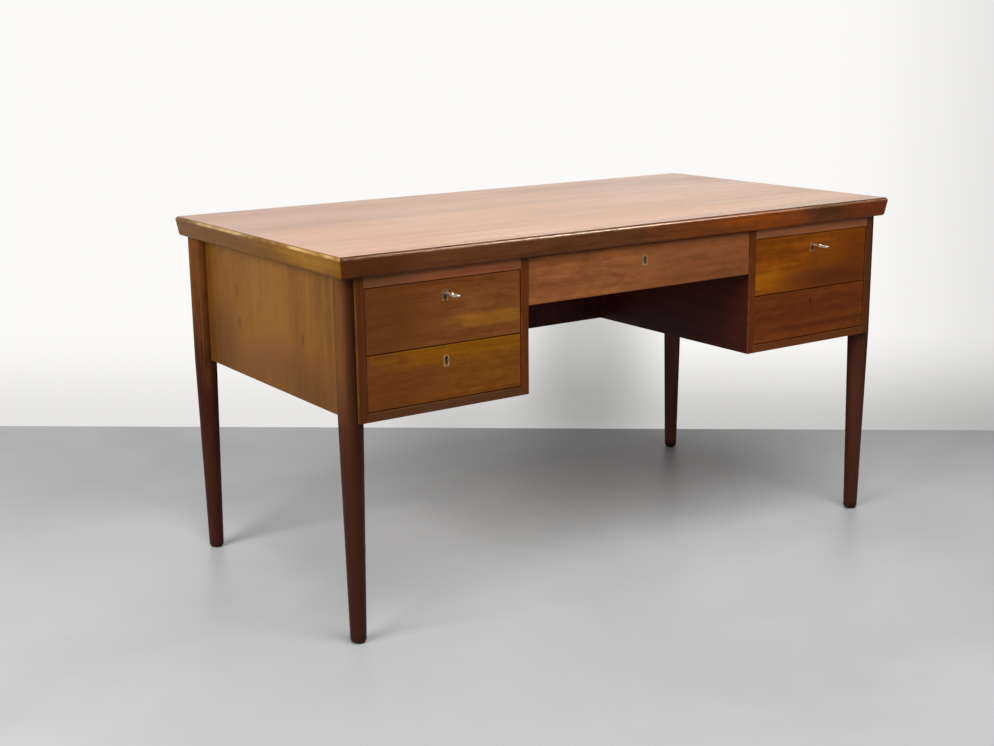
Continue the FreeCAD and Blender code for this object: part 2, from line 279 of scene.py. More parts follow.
finishes = {
    "topTeak": dict(tones(0.425, 0.200, 0.105), roughness=0.29, shine=0.7, contrast=2.2, bump=0.08,
                    poreDepth=0.12, bands=(0.40, 5.0, 2.0, 0.7, 0.56), streaks=(1.1, 34.0, 4.0, 0.3, 0.22),
                    patches=(
        # darker at the back-left; the paler, greyer patch on the right is a painted sheen
        onTop(-0.52, 0.22, 0.34, 0.22, (0.345, 0.150, 0.082), 0.8),
        onTop(0.46, 0.18, 0.44, 0.26, (0.425, 0.240, 0.150), 0.8))),
    "lipFrontTeak": dict(tones(0.104, 0.031, 0.007), shift=(3.1, 0.4, 1.7), **figured, patches=(
        onFront(-0.68, 0.715, 0.17, 0.09, (0.070, 0.016, 0.002), 0.9, "lip"),
        onFront(0.18, 0.715, 0.20, 0.09, (0.170, 0.040, 0.003), 0.8, "lip"),
        onFront(0.34, 0.715, 0.17, 0.09, (0.240, 0.047, 0.0), 0.95, "lip"),
        onFront(0.63, 0.715, 0.14, 0.09, (0.190, 0.034, 0.0), 0.85, "lip"),
        onFront(0.505, 0.728, 0.085, 0.024, (0.09, 0.018, 0.001), 0.8, "lip"))),
    "lipBackTeak": dict(tones(*plainLip), shift=(7.7, 2.2, 0.6)),
    "lipLeftTeak": dict(tones(0.150, 0.056, 0.003), grain="Y", shift=(1.3, 5.1, 2.9), patches=(
        # lighter and golden near the front corner: partly wear, partly a painted highlight
        spot((-0.70, -0.25, 0.722), (0.05, 0.14, 0.026), (0.245, 0.110, 0.008), 0.85),)),
    "lipRightTeak": dict(tones(*plainLip), grain="Y", shift=(4.9, 8.3, 0.2)),
    "legTeak": dict(tones(0.055, 0.015, 0.008), grain="Z", shift=(2.7, 1.1, 6.4), roughness=0.40, shine=0.07,
                    patches=(
        # painted light on the lit upper sides of the back-left and front-left legs and down the front-left
        # leg's left edge, a painted shadow down its right side by the panel; the front-left leg darker low
        # down, the back-right leg lighter, all feet darker at the floor
        onLeg(-1, 1, 0.66, 0.36, (0.235, 0.080, 0.016)),
        onLeg(1, 1, 0.20, 0.60, (0.130, 0.045, 0.025)),
        onLeg(-1, -1, 0.66, 0.32, (0.089, 0.030, 0.010)),
        onLeg(-1, -1, 0.12, 0.34, (0.042, 0.012, 0.0055)),
        spot((-0.690, -0.332, 0.60), (0.016, 0.034, 0.20), (0.130, 0.052, 0.015), 0.8),
        spot((-0.659, -0.350, 0.58), (0.026, 0.034, 0.40), (0.022, 0.006, 0.002), 0.9),
        spot((0.0, 0.0, 0.0), (everywhere, everywhere, 0.020), (0.024, 0.009, 0.006), 0.8))),
    "panelTeak": dict(tones(0.182, 0.070, 0.007), grain="Z", shift=(5.6, 3.3, 1.2), contrast=3.0,
                      bands=(0.55, 8.0, 2.0, 0.6, 0.50), streaks=(1.3, 60.0, 5.0, 0.25, 0.18), patches=(
        onPanel(-0.12, 0.42, 0.36, 0.12, (0.120, 0.042, 0.006), 0.8),
        onPanel(0.25, 0.47, 0.12, 0.13, (0.118, 0.040, 0.006), 0.75),
        onPanel(-0.30, 0.56, 0.06, 0.20, (0.160, 0.070, 0.014), 0.7),
        onPanel(0.143, 0.536, 0.009, 0.017, (0.085, 0.030, 0.003), 0.65),
        onPanel(0.147, 0.600, 0.007, 0.015, (0.095, 0.034, 0.003), 0.6),
        onPanel(-0.139, 0.548, 0.008, 0.017, (0.088, 0.031, 0.003), 0.6),
        frontEdge((0.088, 0.022, 0.004)))),
    # dark as painted shade in the kneehole; lighter towards the rear, in the bays' tone, and at the front
    # edges
    "caseTeak": dict(tones(0.042, 0.008, 0.003), grain="Y", shift=(0.9, 6.2, 4.4), patches=(
        atDepth(0.36, 0.24, (0.160, 0.053, 0.013), crisp=False),
        frontEdge((0.110, 0.026, 0.004)))),
    "bayTeak": dict(tones(*bayTone), **backBoards),
    # its front face dark as painted shade in the kneehole; its rear face, in the bays, takes the bays' tone
    "kneeTeak": dict(tones(0.040, 0.007, 0.003), **backBoards, patches=(
        atDepth(0.167, 0.004, bayTone),)),
    "railTeak": dict(tones(0.285, 0.096, 0.036), shift=(6.1, 0.7, 3.3), patches=(
        onFront(-0.63, 0.684, 0.15, 0.1, (0.160, 0.060, 0.024), 0.9),)),
    "bottomTeak": dict(tones(0.128, 0.033, 0.006), shift=(2.9, 5.5, 0.8), patches=(
        spot((-0.475, 0.0, 0.435), (0.45, everywhere, 0.3), (0.090, 0.033, 0.012), 1.0),)),
    "left_upper": dict(tones(0.165, 0.053, 0.010), shift=(1.7, 9.1, 2.4), **figured, patches=(
        onFront(-0.64, 0.61, 0.17, 0.12, (0.102, 0.031, 0.006), 0.9),
        onFront(-0.37, 0.592, 0.12, 0.020, (0.25, 0.095, 0.012), 0.7))),
    "left_lower": dict(tones(0.152, 0.046, 0.004), shift=(8.2, 1.4, 5.7), **figured, patches=(
        onFront(-0.64, 0.49, 0.17, 0.12, (0.122, 0.036, 0.006), 0.9),
        onFront(-0.41, 0.547, 0.24, 0.030, (0.190, 0.066, 0.0), 0.85))),
    "centre": dict(tones(0.265, 0.090, 0.026), shift=(2.2, 4.8, 9.3), **figured, patches=(
        onFront(0.18, 0.65, 0.22, 0.12, (0.225, 0.071, 0.022), 0.8),)),
    "right_upper": dict(tones(0.245, 0.062, 0.001), shift=(9.4, 3.6, 1.9), **figured, patches=(
        onFront(0.335, 0.585, 0.085, 0.034, (0.340, 0.104, 0.0), 0.9),
        onFront(0.64, 0.62, 0.13, 0.11, (0.165, 0.034, 0.0), 0.9),
        onFront(0.56, 0.570, 0.24, 0.044, (0.120, 0.027, 0.003), 1.0))),
    "right_lower": dict(tones(0.148, 0.033, 0.004), shift=(5.3, 7.4, 8.8), **figured, patches=(
        onFront(0.477, 0.498, 0.0022, 0.0022, (0.012, 0.005, 0.003), 1.0, crisp=True),)),
    "drawerBeech": dict(tones(0.56, 0.38, 0.21), grain="Y", roughness=0.5, poreDepth=0.1, contrast=1.3,
                        wornAmount=0.1),
    "drawerPlywood": dict(tones(0.52, 0.35, 0.20), roughness=0.55, poreDepth=0.12, shift=(3.0, 3.0, 3.0),
                          contrast=1.6),
    "runnerBeech": dict(tones(0.50, 0.33, 0.18), grain="Y", poreDepth=0.1, shift=(1.0, 7.0, 5.0),
                        contrast=1.5),
}
# a matte, dark copy of the top's veneer for the front lip's rounding, just below the veneer: a painted dark
# reflection
finishes["rubbedTeak"] = dict(finishes["topTeak"], **tones(0.055, 0.019, 0.009), shine=0.0, patches=())
wood = {name: woodMaterial(name, **look) for name, look in finishes.items()}

# keyhole plates: rims rubbed bright round darker faces, partly tarnish and partly painted shade round the
# keyhole; the face reaches further where a key stands in it, as painted shade from the key
plateWork = {"plain": (0.0047, through, 0.0096), "keyed": (0.0059, through, 0.0112),
             "face": (0.15, 0.074, 0.028)}
plateTarnishAndShade = []
for drawer in drawerNames:
    plate = drawer + "_keyhole_plate"
    if plate in slotOf:
        low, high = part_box(plate)
        reach = plateWork["keyed" if drawer + "_key" in slotOf else "plain"]
        plateTarnishAndShade.append(spot((low + high) / 2, reach, plateWork["face"], 1.0, crisp=True))

# each metal: bright and dull tones, roughness, scratches, metallic, patches
metalFinishes = {
    "plateBrass": ((0.42, 0.285, 0.135), (0.27, 0.175, 0.080), 0.42, 0.3, 0.25, plateTarnishAndShade),
    "boltBrass": ((0.66, 0.48, 0.22), (0.45, 0.31, 0.13), 0.34, 0.3, 1.0),
    "lockSteel": ((0.42, 0.40, 0.37), (0.22, 0.20, 0.18), 0.46, 0.4, 0.9),
    "keySteel": ((0.80, 0.67, 0.54), (0.46, 0.36, 0.26), 0.26, 0.25, 0.75),
    "screwSteel": ((0.45, 0.42, 0.36), (0.24, 0.21, 0.17), 0.40, 0.3, 0.9),
}
metal = {name: metalMaterial(name, *look) for name, look in metalFinishes.items()}
print("finishes made:", len(wood), "woods,", len(metal), "metals")


# pieces in mesh code
def finishMesh(mesh, smoothAngle):
    if smoothAngle:
        mesh.shade_smooth()
        mesh.set_sharp_from_angle(angle=smoothAngle)
    else:
        mesh.shade_flat()


def newPiece(name, mesh, materials, body, *nodes):
    piece = bpy.data.objects.new(name, mesh)
    scene.collection.objects.link(piece)
    if not mesh.materials:
        for material in materials:
            mesh.materials.append(material)
    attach(piece, body)
    if nodes:
        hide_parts(*nodes)
    return piece


def meshFrom(bm, name, smoothAngle=0.0):
    bmesh.ops.recalc_face_normals(bm, faces=bm.faces)
    mesh = bpy.data.meshes.new(name)
    bm.to_mesh(mesh)
    bm.free()
    finishMesh(mesh, smoothAngle)
    return mesh


# boards and drawer pieces: the solid's own outline, with its sharp edges eased and marked for wear
boardWork = {"ease": 0.0007, "frontEase": 0.0004, "steps": 2, "profile": 0.5, "sharpFrom": 0.5,
             "shortest": 4.0, "joinWithin": 1e-6, "flatWithin": 0.005}


def easedSolid(node, material, ease, shortest=boardWork["shortest"], suffix="_wood"):
    bm = bmesh.new()
    bm.from_mesh(frame["nodes"][node].data)
    bmesh.ops.remove_doubles(bm, verts=bm.verts, dist=boardWork["joinWithin"])
    bmesh.ops.dissolve_limit(bm, angle_limit=boardWork["flatWithin"], verts=bm.verts, edges=bm.edges)
    worn = bm.faces.layers.float.new("worn")
    sharp = [e for e in bm.edges
             if e.is_manifold and e.is_convex and e.calc_face_angle() > boardWork["sharpFrom"]
             and e.calc_length() > shortest * ease]
    if ease:
        made = bmesh.ops.bevel(bm, geom=sharp, offset=ease, offset_type="OFFSET", affect="EDGES",
                               segments=boardWork["steps"], profile=boardWork["profile"], clamp_overlap=True)
        for face in made["faces"]:
            face[worn] = 1.0
    return newPiece(node + suffix, meshFrom(bm, node + suffix), [material], bodyOf[node], node)


boards = {"kneehole_back": "kneeTeak", "bookcase_floor": "bayTeak", "rear_rail": "railTeak",
          "runners_centre": "runnerBeech"}
for side in sideSigns:
    boards["end_panel_" + side] = "panelTeak"
    boards["inner_side_" + side] = "caseTeak"
    boards["pedestal_bottom_" + side] = "bottomTeak"
    boards["pedestal_back_" + side] = "bayTeak"
    boards["front_rail_" + side] = "railTeak"
    boards["runners_" + side] = "runnerBeech"
for drawer in drawerNames:
    boards[drawer + "_drawer_front"] = drawer
    boards[drawer + "_drawer_frame"] = "drawerBeech"
    boards[drawer + "_drawer_bottom"] = "drawerPlywood"
for node, finish in boards.items():
    easedSolid(node, wood[finish], boardWork["frontEase" if node.endswith("_front") else "ease"])
easedSolid("top_panel", wood["topTeak"], ease=0.0)  # flush with its lips
print("boards eased:", len(boards) + 1)


# lips: one profile carried along each side of the top and cut at the mitres, with the veneer laid over them
lipWork = {"width": 0.024, "undercut": 0.006, "corner": 0.008, "arris": 0.006, "lowArris": 0.005,
           "arcSteps": 8, "cornerSteps": 8, "beside": 0.0004, "smooth": 0.7, "paintFrom": (2, 6, 9),
           "turns": {"front": 0, "right": 90, "back": 180, "left": 270}, "cornerAngles": {-1: 225, 1: 270},
           "halfCorner": 45,
           # each lip's arris: gloss on the front lip, a light colour along the arris of the left lip that is
           # a painted highlight, more wear on the right and back
           "polish": {"front": {"shine": 0.45, "roughness": 0.36},
                      "left": {"wornAmount": 0.8, "worn": (0.60, 0.39, 0.15)},
                      "right": {"wornAmount": 0.5}, "back": {"wornAmount": 0.5}}}


def roundedPoint(before, point, after, radius, steps):
    # the arc that rounds one corner of an outline
    toBefore = (before - point).normalized()
    toAfter = (after - point).normalized()
    half = toBefore.angle(toAfter) / 2
    centre = point + (toBefore + toAfter).normalized() * (radius / math.sin(half))
    start = point + toBefore * (radius / math.tan(half)) - centre
    end = point + toAfter * (radius / math.tan(half)) - centre
    turn = start.angle(end)
    arc = []
    for i in range(steps + 1):
        share = i / steps
        mixed = start * math.sin(turn * (1 - share)) + end * math.sin(turn * share)
        arc.append(centre + mixed / math.sin(turn))
    # a point on each flat close to the arc keeps the flats' shading flat
    return [arc[0] + toBefore * lipWork["beside"]] + arc + [arc[-1] + toAfter * lipWork["beside"]]


def lipProfile(low, high):
    # points as (inset from the top's outline, height), from the inner foot round to the inner top
    width = lipWork["width"]
    insets = (width, lipWork["undercut"], 0.0, width)
    corners = [Vector(point) for point in zip(insets, (low, low, high, high))]
    under = roundedPoint(*corners[0:3], lipWork["lowArris"], lipWork["arcSteps"])
    over = roundedPoint(*corners[1:4], lipWork["arris"], lipWork["arcSteps"])
    return [corners[0]] + under + over + [corners[3]], range(1 + len(under), len(under) + len(over))


def lipMesh(name, halfLong, halfWide, low, high, turn):
    outline, arrisRows = lipProfile(low, high)
    width, corner, steps = lipWork["width"], lipWork["corner"], lipWork["cornerSteps"]
    bm = bmesh.new()
    worn = bm.faces.layers.float.new("worn")
    rows = []
    for inset, height in outline:
        radius = corner * min(1.0, max(0.0, (width - inset) / (width - corner)))
        row = []
        for side, firstAngle in lipWork["cornerAngles"].items():
            for i in range(steps + 1):
                angle = math.radians(firstAngle + lipWork["halfCorner"] * i / steps)
                x = side * (halfLong - inset - radius) + radius * math.cos(angle)
                y = -(halfWide - inset - radius) + radius * math.sin(angle)
                row.append(bm.verts.new((x, y, height)))
        rows.append(row)
    for r, (row, nextRow) in enumerate(zip(rows, rows[1:] + rows[:1])):
        for i in range(len(row) - 1):
            face = bm.faces.new((row[i], row[i + 1], nextRow[i + 1], nextRow[i]))
            face[worn] = 1.0 if r in arrisRows else 0.0
            # lip, then up the rounding: the edge, polished on the front lip and with a painted highlight on
            # the left lip, then the line behind it, a painted dark reflection on the front lip, then the
            # veneer
            face.material_index = sum(r - arrisRows[0] >= step for step in lipWork["paintFrom"])
    bm.faces.new([row[0] for row in rows])
    bm.faces.new([row[-1] for row in rows])
    bmesh.ops.remove_doubles(bm, verts=bm.verts, dist=boardWork["joinWithin"])
    bmesh.ops.transform(bm, matrix=Matrix.Rotation(math.radians(turn), 4, "Z"), verts=bm.verts)
    return meshFrom(bm, name, lipWork["smooth"])


panelLow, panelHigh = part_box("top_panel")
halfLength = panelHigh.x + lipWork["width"]
halfDepth = panelHigh.y + lipWork["width"]
for side, turn in lipWork["turns"].items():
    spans = (halfLength, halfDepth) if side in ("front", "back") else (halfDepth, halfLength)
    node = "top_lip_" + side
    mesh = lipMesh(node + "_wood", *spans, panelLow.z, panelHigh.z, turn)
    finish = "lip%sTeak" % side.capitalize()
    edge = woodMaterial(finish + "Edge", **dict(finishes[finish], **lipWork["polish"][side]))
    line = wood["rubbedTeak" if side == "front" else finish]
    newPiece(node + "_wood", mesh, [wood[finish], edge, line, wood["topTeak"]], bodyOf[node], node)
print("lips carried round the top")


# geometry nodes: inputs by name, result as a plain mesh
def newTree(name, sockets):
    tree = bpy.data.node_groups.new(name, "GeometryNodeTree")
    tree.interface.new_socket("Geometry", in_out="INPUT", socket_type="NodeSocketGeometry")
    for socket, kind in sockets:
        tree.interface.new_socket(socket, in_out="INPUT", socket_type=kind)
    tree.interface.new_socket("Geometry", in_out="OUTPUT", socket_type="NodeSocketGeometry")
    return tree, addNode(tree, "NodeGroupInput"), addNode(tree, "NodeGroupOutput")


def endTree(tree, source, geometry, output):
    whole = addNode(tree, "GeometryNodeRealizeInstances", {"Geometry": geometry}).outputs[0]
    feeds = {"Geometry": whole, "Material": source.outputs["finish"]}
    painted = addNode(tree, "GeometryNodeSetMaterial", feeds)
    tree.links.new(painted.outputs[0], output.inputs[0])


def growMesh(name, base, tree, values):
    holder = bpy.data.objects.new(name + "Base", base)
    scene.collection.objects.link(holder)
    modifier = holder.modifiers.new("grow", "NODES")
    modifier.node_group = tree
    sockets = {s.name: s.identifier for s in tree.interface.items_tree if s.in_out == "INPUT"}
    for socket, value in values.items():
        modifier[sockets[socket]] = value
    graph = bpy.context.evaluated_depsgraph_get()
    mesh = bpy.data.meshes.new_from_object(holder.evaluated_get(graph))
    mesh.name = name
    holder.modifiers.remove(modifier)
    bpy.data.objects.remove(holder)
    return mesh


# legs: turned round a line, with the flat lap above the shoulder
legWork = {"footRadius": 0.0155, "footEase": 0.009, "footSteps": 6, "segments": 72, "shoulderStep": 0.00005,
           "smooth": 0.5}


def legTree():
    floats = ("flatPlace", "shoulder", "side")
    tree, source, output = newTree("turnedLeg", [(f, "NodeSocketFloat") for f in floats]
                                   + [("segments", "NodeSocketInt"), ("finish", "NodeSocketMaterial")])
    given = source.outputs
    line = addNode(tree, "GeometryNodeMeshToCurve", {"Mesh": given["Geometry"]}).outputs[0]
    radius = addNode(tree, "GeometryNodeInputNamedAttribute", {"Name": "turnedRadius"}, data_type="FLOAT")
    ring = addNode(tree, "GeometryNodeCurvePrimitiveCircle",
                   {"Resolution": given["segments"], "Radius": 1.0})
    turned = addNode(tree, "GeometryNodeCurveToMesh", {"Curve": line, "Profile Curve": ring.outputs[0],
                                                       "Scale": radius.outputs[0], "Fill Caps": True})
    point = addNode(tree, "GeometryNodeInputPosition").outputs[0]
    place = addNode(tree, "ShaderNodeSeparateXYZ", {0: point}).outputs
    outward = sumNode(tree, "MULTIPLY", place["X"], given["side"])
    flat = sumNode(tree, "MULTIPLY", given["flatPlace"], given["side"])
    kept = sumNode(tree, "MULTIPLY", sumNode(tree, "MAXIMUM", outward, flat), given["side"])
    moved = addNode(tree, "ShaderNodeCombineXYZ", {"X": kept, "Y": place["Y"], "Z": place["Z"]}).outputs[0]
    above = addNode(tree, "FunctionNodeCompare", {0: place["Z"], 1: given["shoulder"]},
                    operation="GREATER_THAN")
    lapped = addNode(tree, "GeometryNodeSetPosition", {"Geometry": turned.outputs[0], "Position": moved,
                                                       "Selection": above.outputs[0]}).outputs[0]
    endTree(tree, source, lapped, output)
    return tree


def legLine(name, axis, topRadius, shoulder, height):
    foot, ease = legWork["footRadius"], legWork["footEase"]
    stations = []
    for i in range(legWork["footSteps"] + 1):
        angle = math.radians(90 * i / legWork["footSteps"])
        stations.append((ease * (1 - math.cos(angle)), foot - ease * (1 - math.sin(angle))))
    step = legWork["shoulderStep"]
    stations += [(shoulder - step, topRadius), (shoulder + step, topRadius), (height, topRadius)]
    mesh = bpy.data.meshes.new(name)
    edges = [(i, i + 1) for i in range(len(stations) - 1)]
    mesh.from_pydata([(axis.x, axis.y, z) for z, _ in stations], edges, [])
    radii = mesh.attributes.new("turnedRadius", "FLOAT", "POINT")
    for entry, (_, radius) in zip(radii.data, stations):
        entry.value = radius
    return mesh


turnedLeg = legTree()
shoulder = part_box("end_panel_left")[0].z
for side, sign in sideSigns.items():
    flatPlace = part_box("end_panel_" + side)[0 if sign < 0 else 1].x
    for row in ("front", "back"):
        node = "leg_%s_%s" % (row, side)
        low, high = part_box(node)
        line = legLine(node + "_line", (low + high) / 2, (high.y - low.y) / 2, shoulder, high.z)
        mesh = growMesh(node + "_wood", line, turnedLeg, {
            "flatPlace": flatPlace, "shoulder": shoulder, "side": float(sign),
            "segments": legWork["segments"], "finish": wood["legTeak"]})
        finishMesh(mesh, legWork["smooth"])
        newPiece(node + "_wood", mesh, [wood["legTeak"]], bodyOf[node], node)
print("legs turned")


# locks, bolts and keyhole plates: pressed and drawn metal with broken edges
# each: finish, ease, and the shortest edge that is eased, in eases
hardwareWork = {"_lock": ("lockSteel", 0.0003, boardWork["shortest"]),
                "_lock_bolt": ("boltBrass", 0.0004, boardWork["shortest"]),
                "_keyhole_plate": ("plateBrass", 0.00012, 1.0)}
for drawer in drawerNames:
    for part, (finish, ease, shortest) in hardwareWork.items():
        if drawer + part in frame["nodes"]:
            easedSolid(drawer + part, metal[finish], ease, shortest, "_metal")
print("locks, bolts and plates finished")


# keys: ring bow, beaded collar, shank and notched bit
# lengths run along the key, from the middle of the bow
keyWork = {"bow": 0.0076, "halfWide": 0.0018, "halfThick": 0.0016, "bowEase": 0.0011, "bowSteps": 56,
           "neckHalf": 0.0024, "neckShare": 0.97, "neckFrom": 0.0070, "neckInto": 0.0005, "smooth": 0.6,
           "collarFrom": 0.0104, "collarLong": 0.0030, "beads": (1, 3), "sectionSteps": 4,
           "collar": 0.0035, "shank": 0.0025, "tip": 0.0005, "sides": 36, "beadSteps": 6,
           "bitReach": 0.0100, "bitWide": 0.0050, "bitThick": 0.0024, "notches": (0.0017, 0.0034),
           "notchHalf": 0.00045, "notchDeep": 0.0030}


def ovalLoop(halfWide, halfThick, ease, steps):
    # a rectangle with rounded corners
    loop = []
    for quarter, (u, v) in enumerate(((1, 1), (-1, 1), (-1, -1), (1, -1))):
        for i in range(steps + 1):
            angle = math.radians(90 * quarter + 90 * i / steps)
            across = u * (halfWide - ease) + ease * math.cos(angle)
            loop.append((across, v * (halfThick - ease) + ease * math.sin(angle)))
    return loop


def loft(bm, loops, ringed=False):
    rows = [[bm.verts.new(p) for p in loop] for loop in loops]
    pairs = zip(rows, rows[1:] + rows[:1]) if ringed else zip(rows, rows[1:])
    for row, nextRow in pairs:
        for i in range(len(row)):
            j = (i + 1) % len(row)
            bm.faces.new((row[i], row[j], nextRow[j], nextRow[i]))
    if not ringed:
        bm.faces.new(rows[0])
        bm.faces.new(rows[-1])


def turnedLoops(middle, profile, sides):
    # rings round the key's own line
    loops = []
    for along, radius in profile:
        angles = [math.tau * i / sides for i in range(sides)]
        loops.append([middle + Vector((radius * math.cos(a), along, radius * math.sin(a))) for a in angles])
    return loops


def keyMesh(name, middle, length):
    bm = bmesh.new()
    k = keyWork
    section = ovalLoop(k["halfWide"], k["halfThick"], k["bowEase"], k["sectionSteps"])
    ring = []
    for i in range(k["bowSteps"]):
        angle = math.tau * i / k["bowSteps"]
        out = Vector((math.cos(angle), math.sin(angle), 0))
        ring.append([middle + out * (k["bow"] + u) + Vector((0, 0, v)) for u, v in section])
    loft(bm, ring, ringed=True)
    neck = ovalLoop(k["neckHalf"], k["halfThick"] * k["neckShare"], k["bowEase"], k["sectionSteps"])
    neckEnds = (k["neckFrom"], k["collarFrom"] + k["neckInto"])
    loft(bm, [[middle + Vector((u, along, v)) for u, v in neck] for along in neckEnds])
    # two beads on the collar, then the plain shank
    profile = []
    beadHalf = k["collarLong"] / (2 * len(k["beads"]))
    for bead in k["beads"]:
        for i in range(k["beadSteps"] + 1):
            angle = math.pi * i / k["beadSteps"]
            along = k["collarFrom"] + bead * beadHalf - beadHalf * math.cos(angle)
            profile.append((along, k["shank"] + (k["collar"] - k["shank"]) * math.sin(angle)))
    profile += [(length - k["tip"], k["shank"]), (length, k["shank"] - k["tip"])]
    loft(bm, turnedLoops(middle, profile, k["sides"]))
    outline = [(0.0, length), (0.0, length - k["bitWide"]), (k["bitReach"], length - k["bitWide"])]
    for notch in reversed(k["notches"]):
        for along, reach in ((-1, 0.0), (-1, k["notchDeep"]), (1, k["notchDeep"]), (1, 0.0)):
            outline.append((k["bitReach"] - reach, length - notch + along * k["notchHalf"]))
    outline.append((k["bitReach"], length))
    halves = (-k["bitThick"] / 2, k["bitThick"] / 2)
    loft(bm, [[middle + Vector((x, y, z)) for x, y in outline] for z in halves])
    bmesh.ops.remove_doubles(bm, verts=bm.verts, dist=boardWork["joinWithin"])
    return meshFrom(bm, name, k["smooth"])


for joint in behaviour["joints"]:
    if joint["name"].endswith("_key_turn"):
        node = joint["child"]
        low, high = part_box(node)
        across, _, height = joint["pos_m"]
        middle = Vector((across, low.y + keyWork["bow"] + keyWork["halfWide"], height))
        mesh = keyMesh(node + "_metal", middle, high.y - middle.y)
        newPiece(node + "_metal", mesh, [metal["keySteel"]], bodyOf[node], node)
print("keys made")


# slotted screws: in the lock plates, the drawer bottoms, the rails and behind the legs
screwWork = {"headRadius": 0.0034, "headDepth": 0.0010, "slotWidth": 0.0008, "slotDepth": 0.0006, "seed": 11,
             "rim": 0.80, "slotReach": 3.0, "sides": 24, "smooth": 0.5, "lockScale": 0.62, "caseScale": 1.0,
             "lockEdge": 0.004, "lockEnd": 0.007, "bottomEdge": 0.006, "bottomShares": (0.12, 0.5, 0.88),
             "railEdge": 0.015, "legHeights": (0.470, 0.650),
             "railShares": {"rear_rail": (0.08, 0.36, 0.64, 0.92)}}
for side in sideSigns:
    screwWork["railShares"]["front_rail_" + side] = (0.2, 0.8)


def screwTree():
    floats = ("headRadius", "headDepth", "slotWidth", "slotDepth")
    tree, source, output = newTree("slottedScrews", [(f, "NodeSocketFloat") for f in floats]
                                   + [("seed", "NodeSocketInt"), ("finish", "NodeSocketMaterial")])
    given = source.outputs
    rim = sumNode(tree, "MULTIPLY", given["headRadius"], screwWork["rim"])
    head = addNode(tree, "GeometryNodeMeshCone", {
        "Vertices": screwWork["sides"], "Radius Top": rim, "Radius Bottom": given["headRadius"],
        "Depth": given["headDepth"]})
    slotLong = sumNode(tree, "MULTIPLY", given["headRadius"], screwWork["slotReach"])
    slotTall = sumNode(tree, "MULTIPLY", given["slotDepth"], 2.0)
    feeds = {"X": slotLong, "Y": given["slotWidth"], "Z": slotTall}
    slotSize = addNode(tree, "ShaderNodeCombineXYZ", feeds)
    slot = addNode(tree, "GeometryNodeMeshCube", {"Size": slotSize.outputs[0]})
    lift = addNode(tree, "ShaderNodeCombineXYZ", {"Z": given["headDepth"]})
    feeds = {"Geometry": slot.outputs["Mesh"], "Translation": lift.outputs[0]}
    raised = addNode(tree, "GeometryNodeTransform", feeds)
    feeds = {"Mesh 1": head.outputs["Mesh"], "Mesh 2": raised.outputs[0]}
    cut = addNode(tree, "GeometryNodeMeshBoolean", feeds, operation="DIFFERENCE")
    facing = addNode(tree, "GeometryNodeInputNamedAttribute", {"Name": "facing"}, data_type="FLOAT_VECTOR")
    size = addNode(tree, "GeometryNodeInputNamedAttribute", {"Name": "headScale"}, data_type="FLOAT")
    upright = addNode(tree, "FunctionNodeAlignRotationToVector", {"Vector": facing.outputs[0]}, axis="Z")
    feeds = {2: 0.0, 3: math.pi, "Seed": given["seed"]}
    turn = addNode(tree, "FunctionNodeRandomValue", feeds, data_type="FLOAT")
    about = addNode(tree, "ShaderNodeCombineXYZ", {"Z": turn.outputs[1]})
    spun = addNode(tree, "FunctionNodeEulerToRotation", {0: about.outputs[0]})
    feeds = {"Rotation": upright.outputs[0], "Rotate By": spun.outputs[0]}
    placed = addNode(tree, "FunctionNodeRotateRotation", feeds, rotation_space="LOCAL")
    screws = addNode(tree, "GeometryNodeInstanceOnPoints", {
        "Points": given["Geometry"], "Instance": cut.outputs[0], "Rotation": placed.outputs[0],
        "Scale": size.outputs[0]})
    endTree(tree, source, screws.outputs[0], output)
    return tree


def screwPoints():
    # body: list of (place, direction that the head faces, scale)
    points = {}
    small, full = screwWork["lockScale"], screwWork["caseScale"]
    for drawer in drawerNames:
        low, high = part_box(drawer + "_lock")
        heads = points.setdefault(bodyOf[drawer + "_lock"], [])
        for x in (low.x + screwWork["lockEdge"], high.x - screwWork["lockEdge"]):
            for z in (low.z + screwWork["lockEnd"], high.z - screwWork["lockEnd"]):
                heads.append(((x, high.y, z), (0, 1, 0), small))
        low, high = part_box(drawer + "_drawer_bottom")
        for share in screwWork["bottomShares"]:
            place = (low.x + share * (high.x - low.x), high.y - screwWork["bottomEdge"], low.z)
            heads.append((place, (0, 0, -1), full))
    heads = points.setdefault("case", [])
    for rail, shares in screwWork["railShares"].items():
        low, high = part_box(rail)
        for share in shares:
            place = (low.x + share * (high.x - low.x), high.y - screwWork["railEdge"], low.z)
            heads.append((place, (0, 0, -1), full))
    for side, sign in sideSigns.items():
        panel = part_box("end_panel_" + side)[1 if sign < 0 else 0].x
        for row in ("front", "back"):
            low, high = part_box("leg_%s_%s" % (row, side))
            for height in screwWork["legHeights"]:
                heads.append(((panel, (low.y + high.y) / 2, height), (-sign, 0, 0), full))
    return points


slottedScrews = screwTree()
for body, heads in screwPoints().items():
    base = bpy.data.meshes.new(body + "_screwPlaces")
    base.from_pydata([place for place, _, _ in heads], [], [])
    base.attributes.new("facing", "FLOAT_VECTOR", "POINT")
    base.attributes.new("headScale", "FLOAT", "POINT")
    for i, (_, direction, scale) in enumerate(heads):
        base.attributes["facing"].data[i].vector = direction
        base.attributes["headScale"].data[i].value = scale
    values = {key: screwWork[key] for key in ("headRadius", "headDepth", "slotWidth", "slotDepth", "seed")}
    mesh = growMesh(body + "_screws", base, slottedScrews, dict(values, finish=metal["screwSteel"]))
    finishMesh(mesh, screwWork["smooth"])
    newPiece(body + "_screws", mesh, [metal["screwSteel"]], body)
print("screws set")


